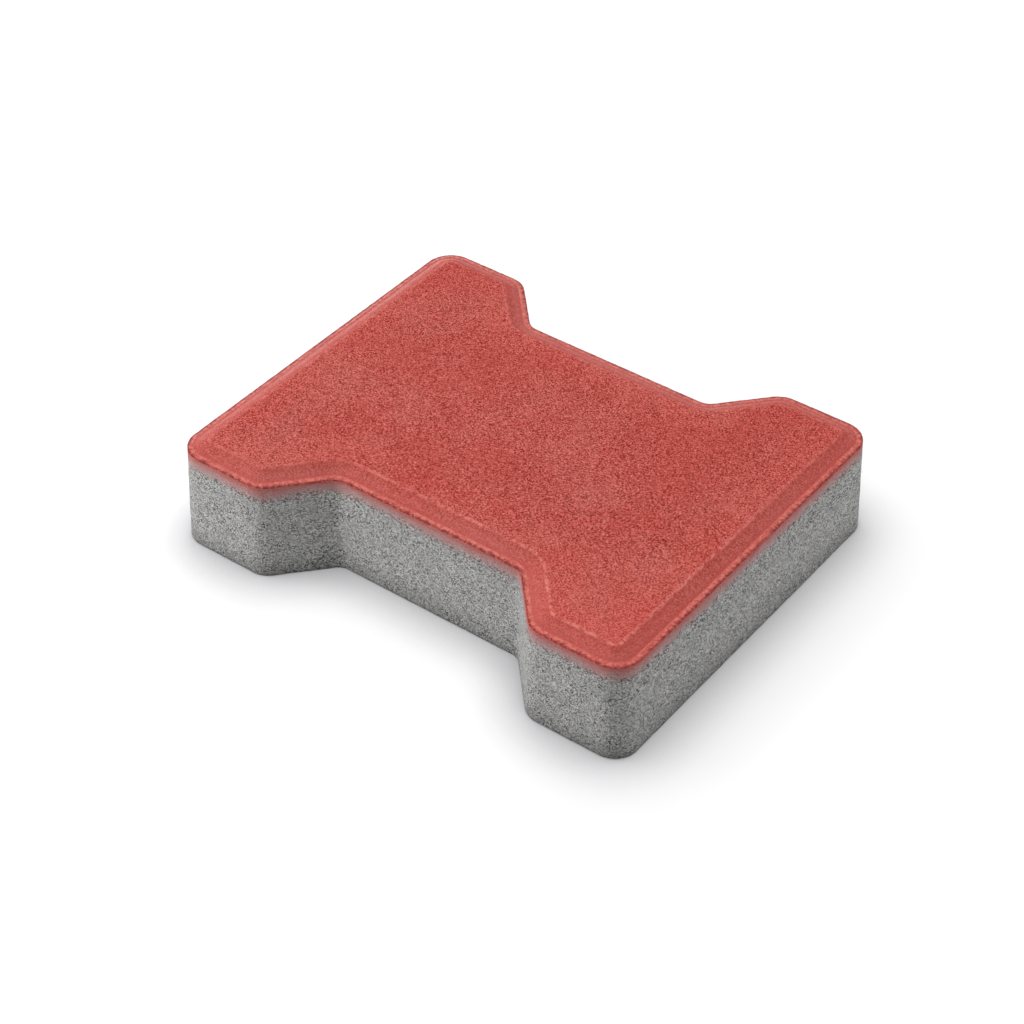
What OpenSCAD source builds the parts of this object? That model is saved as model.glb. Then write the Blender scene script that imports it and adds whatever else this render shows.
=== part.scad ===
// Double-T interlocking paving stone of two-layer pressed concrete.
// A pigmented face layer, with a ledge and a chamfer pressed round its edge, lies on a plain grey base.
// Millimetres. The origin is the middle of the bed face, +X along the stone, +Z up to the face.

/* [Plan at the bed face] */
// Length over the two heads
stone_length = 200; // [160:1:260]
// Width of the heads
head_width = 161; // [130:1:210]
// Width of the waist between the two notches
waist_width = 117; // [80:1:125]
// Straight side of each head
head_side = 40; // [25:0.5:50]
// Length along the stone that each slanted shoulder takes
shoulder_run = 20; // [10:0.5:28]
// Radius of the upright fillets at the foot of the notches
waist_r = 6; // [2:0.5:14]

/* [Height] */
// Thickness from the bed face to the top
thickness = 44; // [36:1:100]
// How far the walls lean in from the bed face to the rim
wall_draft = 1; // [0.1:0.1:3]
// Worn arris round the bed face
bed_arris = 0.8; // [0.2:0.1:2]

/* [Pressed face] */
// Width of the flat ledge inside the rim
ledge_width = 2; // [0.5:0.1:4]
// Width of the chamfer in plan
chamfer_run = 6; // [2:0.1:10]
// Depth of the chamfer under the top
chamfer_drop = 2.8; // [1:0.1:8]
// Radius of the corners of the heads and shoulders at the top edge
top_corner_r = 2.5; // [0.2:0.1:4]
// How far the coloured layer reaches down the walls under the rim
face_band = 1.2; // [0.5:0.1:15]

/* [Hidden] */
// Largest turn of one flat of a rounded corner, in degrees
corner_step = 7.5;
half_length = stone_length / 2;
half_head = head_width / 2;
half_waist = waist_width / 2;
shoulder_x = half_length - head_side;
waist_x = shoulder_x - shoulder_run;
rim_z = thickness - chamfer_drop;
ledge_inset = wall_draft + ledge_width;
top_inset = ledge_inset + chamfer_run;
// The corners are concentric, so the bed face has the largest radius.
corner_r = top_inset + top_corner_r;
layer_z = rim_z - face_band;

// The sharp corners of one long side, from the +X end to the -X end: place, and radius.
// A fillet in a hollow corner has its radius below zero.
side_corners = [
    [[half_length, half_head], corner_r],
    [[shoulder_x, half_head], corner_r],
    [[waist_x, half_waist], -waist_r],
    [[-waist_x, half_waist], -waist_r],
    [[-shoulder_x, half_head], corner_r],
    [[-half_length, half_head], corner_r],
];

// The section of the pressed edge, from the bed face to the top: inset from the plan, and height.
edge_section = [
    [bed_arris, 0],
    [0, bed_arris],
    [wall_draft, rim_z],
    [ledge_inset, rim_z],
    [top_inset, thickness],
];

function mirrored(p) = [p.x, -p.y];

// Outward normal of the run from one point to the next, with the stone on the left hand.
function run_normal(from, to) = let (d = (to - from) / norm(to - from)) [d.y, -d.x];

function corner_place(i) =
    i < 0 ? mirrored(side_corners[0][0])
    : i == len(side_corners) ? mirrored(side_corners[i - 1][0])
    : side_corners[i][0];

// Points of one rounded corner. Its arcs at every inset share one centre.
function corner_points(i, inset) =
    let (
        place = corner_place(i),
        radius = side_corners[i][1],
        normal_in = run_normal(corner_place(i - 1), place),
        normal_out = run_normal(place, corner_place(i + 1)),
        centre = place - radius * (normal_in + normal_out) / (1 + normal_in * normal_out),
        start = atan2(normal_in.y, normal_in.x),
        turn = sign(radius) * acos(normal_in * normal_out),
        flats = ceil(abs(turn) / corner_step)
    )
    [for (k = [0:flats]) let (a = start + turn * k / flats) centre + (radius - inset) * [cos(a), sin(a)]];

function side_points(inset) =
    [for (i = [0:len(side_corners) - 1]) each corner_points(i, inset)];

// One closed ring round the stone: one long side, then its mirror image on the way back.
function ring(inset, height) =
    let (side = side_points(inset), last = len(side) - 1)
    [
        for (p = side) [p.x, p.y, height],
        for (i = [last:-1:0]) [side[i].x, -side[i].y, height],
    ];

// The whole stone: the edge section carried round the plan, closed by strips across the stone.
module stone() {
    rings = [for (s = edge_section) ring(s[0], s[1])];
    count = len(rings[0]);
    top = (len(rings) - 1) * count;
    strips = count / 2 - 2;
    walls = [
        for (r = [0:len(rings) - 2], i = [0:count - 1])
            let (a = r * count + i, b = r * count + (i + 1) % count)
            [a, a + count, b + count, b]
    ];
    bed = [for (i = [0:strips]) [i, i + 1, count - 2 - i, count - 1 - i]];
    face = [for (q = bed) [for (k = [3:-1:0]) q[k] + top]];
    polyhedron(points = [for (r = rings) each r], faces = concat(walls, bed, face));
}

// Everything from the joint between the two concretes up to the top.
module above_layer_joint() {
    translate([-half_length, -half_head, layer_z])
        cube([stone_length, head_width, thickness]);
}

module base_concrete() {
    color("#9a9b98")
        difference() {
            stone();
            above_layer_joint();
        }
}

module face_layer() {
    color("#c4524a")
        intersection() {
            stone();
            above_layer_joint();
        }
}

base_concrete();
face_layer();
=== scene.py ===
import bpy
import numpy as np
from mathutils import Matrix, Vector


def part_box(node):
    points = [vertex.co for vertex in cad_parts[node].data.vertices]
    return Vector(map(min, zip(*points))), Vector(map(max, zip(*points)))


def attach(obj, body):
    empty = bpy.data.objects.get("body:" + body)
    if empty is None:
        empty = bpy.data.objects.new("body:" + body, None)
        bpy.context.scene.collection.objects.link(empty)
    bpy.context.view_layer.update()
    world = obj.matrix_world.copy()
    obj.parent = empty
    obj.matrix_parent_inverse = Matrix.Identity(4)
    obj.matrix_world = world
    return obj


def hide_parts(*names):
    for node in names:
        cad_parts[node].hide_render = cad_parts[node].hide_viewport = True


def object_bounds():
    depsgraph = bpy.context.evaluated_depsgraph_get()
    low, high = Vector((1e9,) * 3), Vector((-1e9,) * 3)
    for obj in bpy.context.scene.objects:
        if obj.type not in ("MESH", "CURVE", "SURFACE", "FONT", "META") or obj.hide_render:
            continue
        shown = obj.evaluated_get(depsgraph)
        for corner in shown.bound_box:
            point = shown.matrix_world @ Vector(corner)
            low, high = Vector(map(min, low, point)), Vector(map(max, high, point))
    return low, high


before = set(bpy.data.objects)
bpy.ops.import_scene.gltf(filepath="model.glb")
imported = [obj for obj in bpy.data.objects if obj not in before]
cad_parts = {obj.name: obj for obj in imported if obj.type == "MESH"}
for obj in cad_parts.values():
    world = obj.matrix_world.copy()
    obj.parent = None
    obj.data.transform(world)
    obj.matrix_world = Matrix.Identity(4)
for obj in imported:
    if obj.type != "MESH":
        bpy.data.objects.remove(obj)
cad_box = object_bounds()

# Base concrete: the grey backing mix that fills the mould, coarse sand and cement pressed nearly dry.
# Its walls lean in a little towards the rim so that the mould lifts off, and they are grainy and pitted.
# The red face mix is pressed on top of it while both are wet, so red cement bleeds down into its top.
MM = 0.001
HALF_LENGTH, HALF_HEAD = (round(size / MM, 2) for size in cad_box[1].xy)
HALF_WAIST, SHOULDER_X, WAIST_X = 58.5, 60.0, 40.0
CORNER_R, BED_CORNER_R, WAIST_R = 11.5, 9.5, 6.0
JOINT_Z = round(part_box("base_concrete")[1].z / MM, 2)
RIM_Z, WALL_DRAFT = 41.2, 1.0
# Insets and heights of the worn arris round the bed.
BED_ARRIS = [[1.1, 0.0], [0.55, 0.08], [0.2, 0.4], [0.04, 1.0]]
BASE_STEP = 1.0


def plan_side(step, corner_r):
    """Edge of one long side from the +X end to the -X end, as points and outward normals in mm.
    Each corner is an arc about its centre, and points about a step apart lie on the runs between.
    The count of points on an arc doesn't follow its own radius, so rings of different radii match."""
    half = np.array([
        [HALF_LENGTH, HALF_HEAD, corner_r],
        [SHOULDER_X, HALF_HEAD, corner_r],
        [WAIST_X, HALF_WAIST, -WAIST_R],
    ])
    corners = np.vstack([half, half[::-1] * [-1, 1, 1]])
    place, radius = corners[:, :2], corners[:, 2]
    ends = np.array([[HALF_LENGTH, -HALF_HEAD], [-HALF_LENGTH, -HALF_HEAD]])
    run = np.diff(np.vstack([ends[:1], place, ends[1:]]), axis=0)
    run /= np.linalg.norm(run, axis=1, keepdims=True)
    normal = np.stack([run[:, 1], -run[:, 0]], axis=1)
    points, normals = [], []
    for i, (at, r, into, out) in enumerate(zip(place, radius, normal[:-1], normal[1:])):
        centre = at - r * (into + out) / (1 + into @ out)
        first = np.arctan2(into[1], into[0])
        turn = np.sign(r) * np.arccos(into @ out)
        angle = np.linspace(first, first + turn, int(np.ceil(abs(turn) * CORNER_R / step)) + 1)
        arc_normal = np.stack([np.cos(angle), np.sin(angle)], axis=1)
        arc = centre + r * arc_normal
        if i > 0:
            start = points[-1][-1]
            steps = int(np.linalg.norm(at - place[i - 1]) / step)
            share = np.linspace(0, 1, steps + 1)[1:-1, None]
            points.append(start + share * (arc[0] - start))
            normals.append(np.repeat(into[None], len(share), axis=0))
        points.append(arc)
        normals.append(arc_normal)
    return np.vstack(points), np.vstack(normals)


def plan_ring(step, corner_r):
    """Closed edge of the stone, counter-clockwise: a long side, an end, the side mirrored and the other end.
    Also gives the count of points along a side, and the shares of the width at which lines across lie."""
    side, side_n = plan_side(step, corner_r)
    across = np.linspace(1, -1, int(2 * HALF_HEAD / step) + 1)
    flip = np.array([1, -1])
    end = np.stack([np.full(len(across) - 2, side[-1, 0]), side[-1, 1] * across[1:-1]], axis=1)
    end_n = np.repeat([[-1.0, 0.0]], len(end), axis=0)
    ring = np.vstack([side, end, side[::-1] * flip, -end])
    ring_n = np.vstack([side_n, end_n, side_n[::-1] * flip, -end_n])
    return ring, ring_n, len(side), across


# Cells after which the random lattices of the grain and the pits repeat.
LATTICE = 64


def lattice_noise(points, cell, seed):
    """Smooth noise from -1 to 1: random numbers on a cubic lattice of cell mm, eased in between."""
    table = np.random.default_rng(seed).uniform(-1, 1, (LATTICE, LATTICE, LATTICE))
    place = points / cell
    low = np.floor(place).astype(int)
    ease = place - low
    ease = ease * ease * (3 - 2 * ease)
    total = np.zeros(len(points))
    for corner in np.ndindex(2, 2, 2):
        weight = np.prod(np.where(corner, ease, 1 - ease), axis=1)
        x, y, z = ((low + corner) % LATTICE).T
        total += weight * table[x, y, z]
    return total


def pits(points, cell, widest, seed):
    """Depth from 0 to 1 of round pits: one bowl in each cube of cell mm, up to widest mm across.
    A bowl is 1 less the square of the share of its half width. Most are narrow, and those are shallower."""
    margin, least_half_width, least_depth = 0.2, 0.001, 0.2
    rng = np.random.default_rng(seed)
    shift = rng.uniform(margin, 1 - margin, (LATTICE, LATTICE, LATTICE, 3))
    half_width = rng.uniform(0.0, 1.0, (LATTICE, LATTICE, LATTICE)) ** 2 * widest / 2 + least_half_width
    home = np.floor(points / cell).astype(int)
    depth = np.zeros(len(points))
    for step in np.ndindex(3, 3, 3):
        cube = home + step - 1
        x, y, z = (cube % LATTICE).T
        half = half_width[x, y, z]
        away = np.linalg.norm(points - (cube + shift[x, y, z]) * cell, axis=1) / half
        deepest = np.minimum(half * 2 / widest + least_depth, 1)
        depth = np.maximum(depth, np.clip(1 - away**2, 0, 1) * deepest)
    return depth


def plan_inset(points):
    """Distance in mm from the edge of the plan in to each point, worked out in one quarter of the stone.
    It is the least of those to end, head side and notch, and beside a rounded corner that to its arc."""
    place = np.abs(points[:, :2])
    waist_corner = np.array([WAIST_X, HALF_WAIST])
    head_corner = np.array([SHOULDER_X, HALF_HEAD])
    slant = (head_corner - waist_corner) / np.linalg.norm(head_corner - waist_corner)
    outward = np.array([-slant[1], slant[0]])
    to_centre = (outward + [0, 1]) / (1 + outward[1])
    notch = np.maximum((waist_corner - place) @ outward, HALF_WAIST - place[:, 1])
    hollow = place - waist_corner - WAIST_R * to_centre
    at_hollow = (hollow[:, 0] > 0) & (hollow @ slant < 0)
    notch = np.where(at_hollow, np.linalg.norm(hollow, axis=1) - WAIST_R, notch)
    inset = np.minimum(notch, np.minimum(HALF_LENGTH - place[:, 0], HALF_HEAD - place[:, 1]))
    shoulder = place - head_corner + CORNER_R * to_centre
    at_shoulder = (shoulder[:, 0] < 0) & (shoulder @ slant > 0)
    inset = np.where(at_shoulder, CORNER_R - np.linalg.norm(shoulder, axis=1), inset)
    corner = place - [HALF_LENGTH - CORNER_R, HALF_HEAD - CORNER_R]
    at_corner = (corner > 0).all(axis=1)
    return np.where(at_corner, CORNER_R - np.linalg.norm(corner, axis=1), inset)


def rim_way(points):
    """Way of each point from the rim in mm: below zero, its depth under the rim, down the wall,
    and above zero, its inset past the rim, in over the ledge, the chamfer and the top."""
    under = np.minimum(points[:, 2] - RIM_Z, 0)
    inside = np.maximum(plan_inset(points) - WALL_DRAFT, 0)
    return under + inside * (points[:, 2] > RIM_Z / 2)


def carried_edge(step, edge):
    """The edge section, rows of (inset, height) in mm, carried round the plan, as points and normals.
    A point lies its inset in from the plan along the plan's normal, at its height.
    The corners tighten from the rim down to the bed, in proportion to the height."""
    ring, ring_n, count, across = plan_ring(step, CORNER_R)
    bed_ring = plan_ring(step, BED_CORNER_R)[0]
    above_bed = np.minimum(edge[:, 1] / RIM_Z, 1)[:, None, None]
    slope = np.gradient(edge, axis=0)
    slope /= np.linalg.norm(slope, axis=1, keepdims=True)
    points = np.empty((len(edge), len(ring), 3))
    points[..., :2] = bed_ring + (ring - bed_ring) * above_bed - ring_n * edge[:, None, :1]
    points[..., 2] = edge[:, 1:]
    normals = np.empty_like(points)
    normals[..., :2] = ring_n * slope[:, None, 1:]
    normals[..., 2] = slope[:, :1]
    return points, normals, count, across


def net_across(rim, rim_index, count, across, first):
    """A net of lines across the stone, level with a rim: a point lies at (x, half width times share).
    Gives the new points, numbered from first on, and the four-sided faces, which face up."""
    lines = len(across)
    side = rim[:count]
    inner = np.empty((count - 2, lines - 2, 3))
    inner[..., 0] = side[1:-1, None, 0]
    inner[..., 1] = side[1:-1, None, 1] * across[1:-1]
    inner[..., 2] = rim[0, 2]
    net = np.empty((count, lines), int)
    net[1:-1, 1:-1] = first + np.arange(inner.size // 3).reshape(count - 2, lines - 2)
    breaks = np.cumsum([count, lines - 2, count])
    net[:, 0], net[-1, 1:-1], net[::-1, -1], net[0, -2:0:-1] = np.split(rim_index, breaks)
    faces = np.stack([net[:-1, :-1], net[1:, :-1], net[1:, 1:], net[:-1, 1:]], axis=-1)
    return inner.reshape(-1, 3), faces.reshape(-1, 4)


def layer_mesh(name, step, edge, open_end, relief):
    """One layer of the stone: the edge section carried round the plan, bottom to top, a net across its open
    end, 0 for the bottom or -1 for the top, and one flat face at its other end, where the layers join.
    The relief moves every point along its normal. Each point keeps its way from the rim for the material."""
    points, normals, count, across = carried_edge(step, edge)
    index = np.arange(points.size // 3).reshape(points.shape[:2])
    beside = np.roll(index, -1, axis=1)
    walls = np.stack([index[:-1], beside[:-1], beside[1:], index[1:]], axis=-1).reshape(-1, 4)
    inner, quads = net_across(points[open_end], index[open_end], count, across, index.size)
    if open_end == 0:
        joint, quads, facing = index[-1], quads[:, ::-1], -1.0
    else:
        joint, facing = index[0, ::-1], 1.0

    points = np.vstack([points.reshape(-1, 3), inner])
    normals = np.vstack([normals.reshape(-1, 3), np.repeat([[0.0, 0.0, facing]], len(inner), axis=0)])
    way = rim_way(points)
    points = points + normals * relief(points, way)[:, None]

    faces = np.vstack([walls, quads])
    mesh = bpy.data.meshes.new(name)
    mesh.from_pydata((points * MM).tolist(), [], faces.tolist() + [joint.tolist()])
    mesh.polygons.foreach_set("use_smooth", np.r_[np.ones(len(faces), bool), False])
    mesh.attributes.new("rim_way", "FLOAT", "POINT").data.foreach_set("value", way.astype(np.float32))
    mesh.validate()
    mesh.update()
    piece = bpy.data.objects.new(name, mesh)
    bpy.context.scene.collection.objects.link(piece)
    return piece


def base_relief(points, way):
    """Relief of the grey concrete in mm out of the wall: fine grain and soft unevenness, less the round pits.
    Within 6 mm under the rim it weakens to about a third, because red cement paste fills the grain there."""
    grain_depth, uneven_depth, pit_depth = 0.07, 0.06, 0.28
    paste_end, paste_reach, least_share = 1.0, 5.0, 0.35
    unfilled = np.clip((way + paste_end) / -paste_reach, least_share, 1)
    grain = lattice_noise(points, cell=1.2, seed=11) * grain_depth
    uneven = lattice_noise(points, cell=4.0, seed=12) * uneven_depth
    return (grain + uneven - pits(points, cell=2.6, widest=1.7, seed=13) * pit_depth) * unfilled


def rows_between(low, high, step):
    """Points of the edge section on a straight line, about a step apart, without the last one."""
    low, high = np.array(low, float), np.array(high, float)
    share = np.linspace(0, 1, int(np.ceil(np.linalg.norm(high - low) / step)) + 1)[:-1, None]
    return low + share * (high - low)


joint_inset = WALL_DRAFT * JOINT_Z / RIM_Z
joint_edge = [joint_inset, JOINT_Z]
base_edge = np.vstack([BED_ARRIS[:-1], rows_between(BED_ARRIS[-1], joint_edge, BASE_STEP), joint_edge])
base = layer_mesh("base_concrete_stone", BASE_STEP, base_edge, 0, base_relief)


def shader_group(name, inputs, outputs):
    """A node group with a Vector input, and with float inputs and outputs."""
    group = bpy.data.node_groups.new(name, "ShaderNodeTree")
    group.interface.new_socket("Vector", in_out="INPUT", socket_type="NodeSocketVector")
    for in_out, labels in (("INPUT", inputs), ("OUTPUT", outputs)):
        for label in labels:
            group.interface.new_socket(label, in_out=in_out, socket_type="NodeSocketFloat")
    return group


def node(tree, kind, inputs=None, **settings):
    """Adds a node, sets its properties, and links or fills its inputs."""
    made = tree.nodes.new(kind)
    for key, value in settings.items():
        setattr(made, key, value)
    for key, value in (inputs or {}).items():
        socket = made.inputs[key]
        if isinstance(value, bpy.types.NodeSocket):
            tree.links.new(value, socket)
        else:
            socket.default_value = value
    return made


def ramp(tree, value, low, high, to_low=0.0, to_high=1.0):
    """A value brought from one range to another, eased and held at both ends."""
    inputs = {"Value": value, "From Min": low, "From Max": high, "To Min": to_low, "To Max": to_high}
    return node(tree, "ShaderNodeMapRange", inputs, interpolation_type="SMOOTHSTEP").outputs["Result"]


def maths(tree, operation, a, b):
    """One operation on two values: a less b, the larger of a and b, and so on."""
    return node(tree, "ShaderNodeMath", {0: a, 1: b}, operation=operation).outputs[0]


def times(tree, first, *others):
    """The product of two or more values."""
    for other in others:
        first = maths(tree, "MULTIPLY", first, other)
    return first


def band(tree, value, start, full, fade, end):
    """1 where a value lies between full and fade, eased to 0 at start below them and at end above them."""
    return times(tree, ramp(tree, value, start, full), ramp(tree, value, end, fade))


def between(tree, amount, a, b):
    """Value a going over to value b by an amount."""
    return node(tree, "ShaderNodeMix", {"Factor": amount, 2: a, 3: b}).outputs[0]


def tint(tree, amount, a, b, blend="MIX"):
    """Colour a going over to colour b by an amount, or to a times b with the blend MULTIPLY."""
    made = node(tree, "ShaderNodeMix", {"Factor": amount}, data_type="RGBA", blend_type=blend)
    for socket, value in ((made.inputs[6], a), (made.inputs[7], b)):
        if isinstance(value, bpy.types.NodeSocket):
            tree.links.new(value, socket)
        else:
            socket.default_value = (*value, 1.0)
    return made.outputs[2]


def noise(tree, vector, scale, detail=2.0, rough=0.6):
    """Soft noise around one half, of a scale in waves per metre, with finer waves added by the detail."""
    inputs = {"Vector": vector, "Scale": scale, "Detail": detail, "Roughness": rough}
    return node(tree, "ShaderNodeTexNoise", inputs).outputs["Fac"]


# Grain of pressed concrete, for both mixes: sand grains, soft clouds, dark pores and pale sand.
# Patches of smooth cement paste lie between patches where the grain and the pores show.
pressed_grain = tree = shader_group(
    "pressed_grain",
    ["Grains per m", "Clouds per m", "Patches per m", "Pores per m", "Pore share", "Pale share"],
    ["Grain", "Clouds", "Pores", "Pale sand", "Height"],
)
given = node(tree, "NodeGroupInput").outputs
where = given["Vector"]
sand = node(tree, "ShaderNodeTexVoronoi", {"Vector": where, "Scale": given["Grains per m"]}).outputs
sand_tone = node(tree, "ShaderNodeSeparateColor", {"Color": sand["Color"]}).outputs["Red"]
uneven = noise(tree, where, times(tree, given["Grains per m"], 0.5))
patches = noise(tree, where, given["Patches per m"], 1.0, 0.5)
grain = between(tree, 0.25, sand_tone, uneven)
grain = between(tree, ramp(tree, patches, 0.36, 0.6, 0.6, 1.0), 0.5, grain)
cells = node(tree, "ShaderNodeTexVoronoi", {"Vector": where, "Scale": given["Pores per m"]}).outputs
chance = node(tree, "ShaderNodeSeparateColor", {"Color": cells["Color"]}).outputs
dot = ramp(tree, cells["Distance"], 0.42, 0.22)
pore_share = times(tree, given["Pore share"], ramp(tree, patches, 0.4, 0.65, 0.3, 2.2))
pores = times(tree, dot, maths(tree, "LESS_THAN", chance["Red"], pore_share))
node(tree, "NodeGroupOutput", {
    "Grain": grain,
    "Clouds": noise(tree, where, given["Clouds per m"], 3.0),
    "Pores": pores,
    "Pale sand": times(tree, dot, maths(tree, "LESS_THAN", chance["Green"], given["Pale share"])),
    "Height": maths(tree, "SUBTRACT", maths(tree, "SUBTRACT", uneven, sand["Distance"]), pores),
})


def concrete(name, stretch, finish):
    """A new material with its shader, Object coordinates, way from the rim and grain.
    The grain is longer across the stone, along the walls of its ends, by the stretch."""
    material = bpy.data.materials.new(name)
    material.use_nodes = True
    tree = material.node_tree
    shader = tree.nodes["Principled BSDF"]
    where = node(tree, "ShaderNodeTexCoord").outputs["Object"]
    way = node(tree, "ShaderNodeAttribute", attribute_name="rim_way").outputs["Fac"]
    pulled = node(tree, "ShaderNodeMapping", {"Vector": where, "Scale": (1.0, 1.0 / stretch, 1.0)})
    grains = node(tree, "ShaderNodeGroup", node_tree=pressed_grain)
    tree.links.new(pulled.outputs["Vector"], grains.inputs["Vector"])
    for label, value in finish.items():
        grains.inputs[label].default_value = value
    return material, tree, shader, where, way, grains.outputs


def link_surface(tree, shader, colour, roughness, height, strength):
    """Links a colour and a roughness to the shader, and the height of the grain as a bump."""
    bump_depth = 0.25 * MM
    bump = node(tree, "ShaderNodeBump", {"Height": height, "Strength": strength, "Distance": bump_depth})
    tree.links.new(colour, shader.inputs["Base Color"])
    tree.links.new(roughness, shader.inputs["Roughness"])
    tree.links.new(bump.outputs["Normal"], shader.inputs["Normal"])


DARK_SAND, PALE_SAND = (0.085, 0.085, 0.082), (0.62, 0.615, 0.60)
GREY_CEMENT, WHITE_SAND, PORE = (0.26, 0.26, 0.255), (0.60, 0.59, 0.57), (0.025, 0.025, 0.025)
FOOT_SHADE, ARRIS_SHADE = (0.72, 0.72, 0.71), (0.6, 0.6, 0.59)
CEMENT_PASTE, RED_BLEED, VOID = (0.37, 0.365, 0.355), (0.47, 0.096, 0.082), (0.07, 0.065, 0.06)

grey, tree, shader, where, way, grains = concrete("grey_base_concrete", 1.45, {
    "Grains per m": 2600.0, "Clouds per m": 90.0, "Patches per m": 200.0, "Pores per m": 1050.0,
    "Pore share": 0.14, "Pale share": 0.08,
})
colour = tint(tree, ramp(tree, grains["Grain"], 0.1, 0.9), DARK_SAND, PALE_SAND)
colour = tint(tree, ramp(tree, grains["Clouds"], 0.3, 0.7, 0.0, 0.25), colour, GREY_CEMENT)
colour = tint(tree, times(tree, grains["Pale sand"], 0.5), colour, WHITE_SAND)
colour = tint(tree, times(tree, grains["Pores"], 0.95), colour, PORE)
# Painted shade: the grey darkens over the lowest 11 mm of the wall towards the bed, and more at the worn
# arris along its foot.
colour = tint(tree, ramp(tree, way, -30.0, -41.0), colour, FOOT_SHADE, "MULTIPLY")
colour = tint(tree, ramp(tree, way, -39.2, -41.0), colour, ARRIS_SHADE, "MULTIPLY")
# Under the rim, cement paste smears over the grain, red cement bleeds down and a row of small voids is left.
# All three waver up and down along the wall.
ripple = maths(tree, "SUBTRACT", noise(tree, where, 120.0), 0.5)
waver = maths(tree, "ADD", way, times(tree, ripple, 4.0))
colour = tint(tree, ramp(tree, waver, -5.4, -3.6, 0.0, 0.5), colour, CEMENT_PASTE)
bleed_range = {"Value": waver, "From Min": -6.8, "From Max": -0.9, "To Max": 0.79}
bleed = node(tree, "ShaderNodeMapRange", bleed_range).outputs["Result"]
colour = tint(tree, bleed, colour, RED_BLEED)
void_dots = ramp(tree, noise(tree, where, 800.0, 1.0), 0.55, 0.65, 0.0, 0.75)
colour = tint(tree, times(tree, band(tree, waver, -8.0, -5.6, -4.8, -3.8), void_dots), colour, VOID)
roughness = ramp(tree, grains["Grain"], 0.3, 0.7, 0.95, 0.82)
link_surface(tree, shader, colour, roughness, grains["Height"], 0.5)
shader.inputs["Specular IOR Level"].default_value = 0.25
base.data.materials.append(grey)
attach(base, "root")
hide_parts("base_concrete")

# Face layer: a thin mix of fine sand and cement coloured red with iron oxide, pressed on the base.
# The stamp presses a flat top with a chamfer and a narrow ledge round it, and leaves it smoother there.
# Where stamp and mould meet, squeezed-out cement makes a thin bright lip round the rim.
TOP_Z = round(cad_box[1].z / MM, 2)
FACE_STEP = 0.85
# Insets and heights of the edge: the red part of the wall with the rim, the ledge with its bead, the chamfer
# from foot to head, and the softened top edge.
RED_WALL = [[joint_inset, JOINT_Z], [joint_inset + 0.01, 40.5], [0.99, 41.0], [1.0, RIM_Z], [1.06, 41.28]]
LEDGE = [[1.2, 41.3], [1.6, 41.31], [2.0, 41.33], [2.4, 41.39]]
BEAD = [[2.7, 41.45], [2.95, 41.45], [3.2, 41.39], [3.45, 41.35]]
CHAMFER_FOOT, CHAMFER_HEAD = [3.8, 41.48], [8.3, 43.62]
TOP_EDGE = [[8.65, 43.79], [9.0, 43.92], [9.35, TOP_Z]]


def face_relief(points, way):
    """Relief of the red layer in mm: fine grain and soft unevenness, with more grain and pits on the top.
    The rim is chipped and the bead on the ledge is knobbly, each in a bell curve across its own place."""
    grain_depth, top_grain_depth, uneven_depth, pit_depth = 0.02, 0.03, 0.03, 0.2
    chip_depth, knob_depth = 0.12, 0.1
    top_start, top_blend = 7.2, 1.2
    rim_spread, bead_place, bead_spread = 0.7, 1.8, 0.6
    top = np.clip((way - top_start) / top_blend, 0, 1)
    rim = np.exp(-((way / rim_spread) ** 2))
    bead = np.exp(-(((way - bead_place) / bead_spread) ** 2))
    grain = lattice_noise(points, cell=1.1, seed=21) * (grain_depth + top_grain_depth * top)
    uneven = lattice_noise(points, cell=3.5, seed=22) * uneven_depth
    chips = np.minimum(lattice_noise(points, cell=1.5, seed=23), 0) * chip_depth * rim
    knobs = lattice_noise(points, cell=1.8, seed=25) * knob_depth * bead
    return grain + uneven + (chips + knobs) - pits(points, cell=3.0, widest=1.6, seed=24) * pit_depth * top


chamfer_rows = rows_between(CHAMFER_FOOT, CHAMFER_HEAD, FACE_STEP)
face_edge = np.vstack([RED_WALL, LEDGE, BEAD, chamfer_rows, CHAMFER_HEAD, TOP_EDGE])
face = layer_mesh("red_face_layer", FACE_STEP, face_edge, -1, face_relief)

DARK_RED_SAND, PALE_RED_SAND = (0.20, 0.001, 0.001), (0.76, 0.184, 0.150)
DEEP_RED, DUSTY_RED, PINK_SAND = (0.43, 0.038, 0.028), (0.53, 0.130, 0.110), (0.76, 0.29, 0.25)
RED_PORE, CLEAR_RED, LIT_RED = (0.10, 0.004, 0.003), (0.82, 0.098, 0.068), (0.74, 0.122, 0.098)
STAMPED_RED, GROOVE_SHADE_RED, EDGE_PINK_AND_HIGHLIGHT = (0.41, 0.072, 0.057), (0.47, 0.052, 0.036), (0.72, 0.21, 0.18)
LIP_RED, LIP_PINK = (0.54, 0.090, 0.068), (0.76, 0.22, 0.175)
WALL_RED, RIM_SHADE = (0.40, 0.150, 0.138), (0.16, 0.017, 0.014)
# A place by the front corner, in metres, round which the red is painted slightly brighter, as a pool of
# light.
LIT_CORNER = (0.085, -0.09, 0.044)


def distance(tree, a, b):
    """The straight distance between two places, in metres."""
    return node(tree, "ShaderNodeVectorMath", {0: a, 1: b}, operation="DISTANCE").outputs["Value"]


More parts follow.
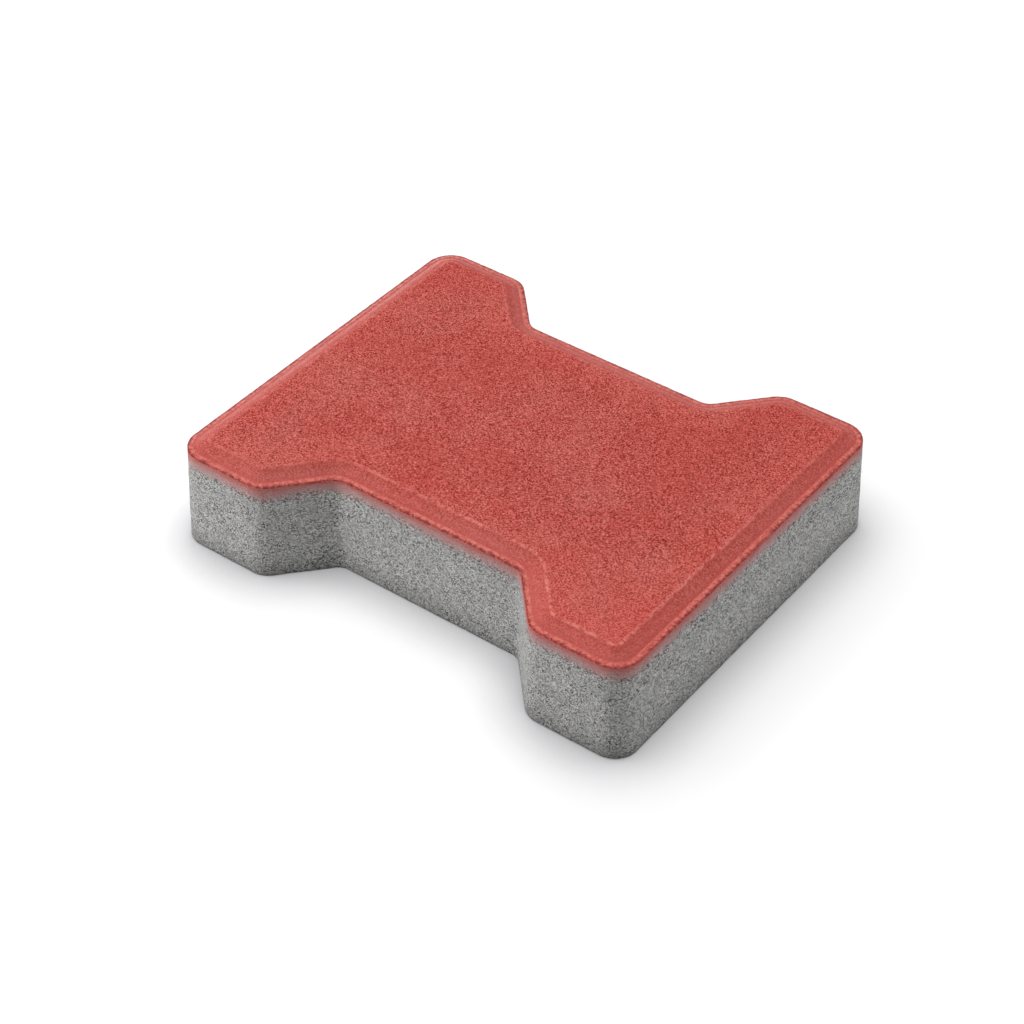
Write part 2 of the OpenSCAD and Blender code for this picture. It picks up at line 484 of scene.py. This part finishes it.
red, tree, shader, where, way, grains = concrete("red_face_concrete", 1.0, {
    "Grains per m": 2800.0, "Clouds per m": 22.0, "Patches per m": 160.0, "Pores per m": 1050.0,
    "Pore share": 0.12, "Pale share": 0.11,
})
to_lit_corner = distance(tree, where, LIT_CORNER)
colour = tint(tree, ramp(tree, grains["Grain"], 0.25, 0.75), DARK_RED_SAND, PALE_RED_SAND)
colour = tint(tree, ramp(tree, grains["Clouds"], 0.3, 0.7, 0.4, 0.0), colour, DEEP_RED)
colour = tint(tree, ramp(tree, grains["Clouds"], 0.45, 0.75, 0.0, 0.4), colour, DUSTY_RED)
colour = tint(tree, times(tree, grains["Pale sand"], 0.7), colour, PINK_SAND)
colour = tint(tree, times(tree, grains["Pores"], 0.9), colour, RED_PORE)
colour = tint(tree, ramp(tree, way, 28.0, 8.0, 0.0, 0.08), colour, CLEAR_RED)
# Painted light: the red brightens near the front corner.
colour = tint(tree, ramp(tree, to_lit_corner, 0.075, 0.015, 0.0, 0.24), colour, LIT_RED)
# The stamped chamfer is more even, darker in the groove at its foot and pale in dots along the top edge,
# partly worn cement and partly a painted highlight, which is stronger near the front corner.
chamfer = band(tree, way, 2.0, 2.8, 7.6, 8.4)
colour = tint(tree, times(tree, chamfer, 0.48), colour, STAMPED_RED)
# Painted shade: a darker, deeper red in the groove at the chamfer's foot.
groove = band(tree, way, 2.1, 2.7, 2.9, 4.4)
colour = tint(tree, times(tree, groove, 0.5), colour, GROOVE_SHADE_RED)
top_edge = band(tree, way, 7.2, 7.8, 8.3, 9.2)
speckle = ramp(tree, noise(tree, where, 650.0, 1.0), 0.42, 0.6, 0.1, 0.8)
patchy = ramp(tree, noise(tree, where, 70.0, 1.0), 0.3, 0.7, 0.6, 1.1)
# Painted light: the pale dots along the top edge grow stronger near the front corner.
near_lit_corner = ramp(tree, to_lit_corner, 0.03, 0.13, 1.25, 0.65)
colour = tint(tree, times(tree, top_edge, speckle, patchy, near_lit_corner), colour, EDGE_PINK_AND_HIGHLIGHT)
# The lip of squeezed-out cement is a row of pale beads. The dark line along the rim and the dark gaps between
# the beads are painted shade.
beads = noise(tree, where, 600.0, 1.0)
lip = band(tree, way, 0.4, 1.6, 2.0, 2.7)
colour = tint(tree, times(tree, lip, 0.65), colour, LIP_RED)
crest = band(tree, way, 0.3, 0.9, 1.9, 2.4)
colour = tint(tree, times(tree, crest, ramp(tree, beads, 0.46, 0.6, 0.0, 0.5)), colour, LIP_PINK)
colour = tint(tree, ramp(tree, way, -0.2, -0.9, 0.0, 0.85), colour, WALL_RED)
# Painted shade along the rim and in the gaps between the beads.
rim_shade_line = times(tree, band(tree, way, -0.5, 0.0, 0.2, 1.3), 0.36)
bead_gap_shade = times(tree, band(tree, way, -0.8, -0.2, 0.7, 1.4), ramp(tree, beads, 0.5, 0.42, 0.0, 0.7))
colour = tint(tree, maths(tree, "MAXIMUM", rim_shade_line, bead_gap_shade), colour, RIM_SHADE)
gritty = ramp(tree, grains["Grain"], 0.3, 0.7, 0.92, 0.8)
stamped = band(tree, way, 0.2, 0.8, 3.0, 8.0)
roughness = maths(tree, "SUBTRACT", gritty, times(tree, stamped, 0.48))
link_surface(tree, shader, colour, roughness, grains["Height"], 0.4)
shader.inputs["Specular IOR Level"].default_value = 0.24
face.data.materials.append(red)
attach(face, "root")
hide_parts("face_layer")

# Studio: a plain pale floor under a large soft lamp, which casts the shadow. Lamps at the left, at the right
# and at the back fill in without one. Seen directly, the surroundings are white, and the floor turns white
# away from the stone.
FLOOR_HALF = 4.0
PALE_FLOOR, CONTACT_SHADE = (0.92, 0.92, 0.93), (0.5, 0.5, 0.52)
WHITE = (1.0, 1.0, 1.0, 1.0)
LAMP_AIM = Vector((0.0, 0.0, 0.02))


def seen_directly(tree):
    """1 for what the camera sees, also in gloss and through glass, and 0 for the light on the stone."""
    path = node(tree, "ShaderNodeLightPath").outputs
    in_gloss = maths(tree, "MAXIMUM", path["Is Glossy Ray"], path["Is Transmission Ray"])
    return maths(tree, "MAXIMUM", path["Is Camera Ray"], in_gloss)


def lamp(name, place, size, power, shadow):
    """A square soft lamp that points at the stone, with or without a shadow."""
    light = bpy.data.lights.new(name, "AREA")
    light.shape = "SQUARE"
    light.size = size
    light.energy = power
    light.use_shadow = shadow
    made = bpy.data.objects.new(name, light)
    made.location = place
    made.rotation_euler = (LAMP_AIM - Vector(place)).to_track_quat("-Z", "Y").to_euler()
    bpy.context.scene.collection.objects.link(made)


floor_corners = np.array([[-1, -1, 0], [1, -1, 0], [1, 1, 0], [-1, 1, 0]]) * FLOOR_HALF
floor_mesh = bpy.data.meshes.new("floor")
floor_mesh.from_pydata(floor_corners.tolist(), [], [(0, 1, 2, 3)])
floor = bpy.data.objects.new("floor", floor_mesh)
bpy.context.scene.collection.objects.link(floor)
paper = bpy.data.materials.new("pale_floor")
paper.use_nodes = True
tree = paper.node_tree
shader = tree.nodes["Principled BSDF"]
# Painted shade: near the stone, as far as ambient occlusion reaches, the floor's colour darkens to the
# contact shade.
unoccluded = node(tree, "ShaderNodeAmbientOcclusion", {"Distance": 0.02}, samples=4).outputs["AO"]
colour = tint(tree, ramp(tree, unoccluded, 0.4, 1.0), CONTACT_SHADE, PALE_FLOOR)
tree.links.new(colour, shader.inputs["Base Color"])
away = distance(tree, node(tree, "ShaderNodeTexCoord").outputs["Object"], (0.0, 0.0, 0.0))
glow = times(tree, seen_directly(tree), ramp(tree, away, 0.1, 0.5, 0.13, 1.0))
tree.links.new(glow, shader.inputs["Emission Strength"])
shader.inputs["Emission Color"].default_value = WHITE
shader.inputs["Roughness"].default_value = 1.0
shader.inputs["Specular IOR Level"].default_value = 0.0
floor_mesh.materials.append(paper)

world = bpy.data.worlds.new("studio")
bpy.context.scene.world = world
world.use_nodes = True
tree = world.node_tree
backdrop = tree.nodes["Background"]
backdrop.inputs["Color"].default_value = WHITE
tree.links.new(ramp(tree, seen_directly(tree), 0.0, 1.0, 0.12, 1.0), backdrop.inputs["Strength"])

lamp("overhead_lamp", (-0.16, 0.03, 1.2), 1.7, 17.6, True)
lamp("left_lamp", (-0.68, -0.56, 0.16), 0.36, 4.1, False)
lamp("right_lamp", (0.75, 0.5, 0.1), 0.3, 1.8, False)
lamp("back_lamp", (-0.85, 0.65, 0.15), 0.5, 1.8, False)

# Camera: a long lens above the front right, as in the photograph. It looks past a point in the middle of the
# stone, so that the stone lies a little to the right of the middle of the frame and a little above it.
CAMERA_TURN, CAMERA_RISE = np.radians(36.899), np.radians(40.259)
FOCAL_PX, FRAME_PX, SENSOR = 2529.1, 1024, 36.0
AIM = np.array([0.0, 0.0, 30.0])
CAMERA_AWAY, CAMERA_LEFT, CAMERA_DOWN = 925.8, 4.98, 17.15
level = np.array([np.sin(CAMERA_TURN), -np.cos(CAMERA_TURN), 0.0])
back = level * np.cos(CAMERA_RISE) + np.array([0.0, 0.0, np.sin(CAMERA_RISE)])
right = np.array([np.cos(CAMERA_TURN), np.sin(CAMERA_TURN), 0.0])
up = np.cross(back, right)
stand = np.eye(4)
stand[:3, :3] = np.stack([right, up, back], axis=1)
stand[:3, 3] = (AIM + back * CAMERA_AWAY - right * CAMERA_LEFT - up * CAMERA_DOWN) * MM
lens = bpy.data.cameras.new("camera")
lens.sensor_width = SENSOR
lens.lens = FOCAL_PX * SENSOR / FRAME_PX
camera = bpy.data.objects.new("camera", lens)
camera.matrix_world = Matrix(stand.tolist())
bpy.context.scene.collection.objects.link(camera)
bpy.context.scene.camera = camera
bpy.context.scene.view_settings.view_transform = "Standard"
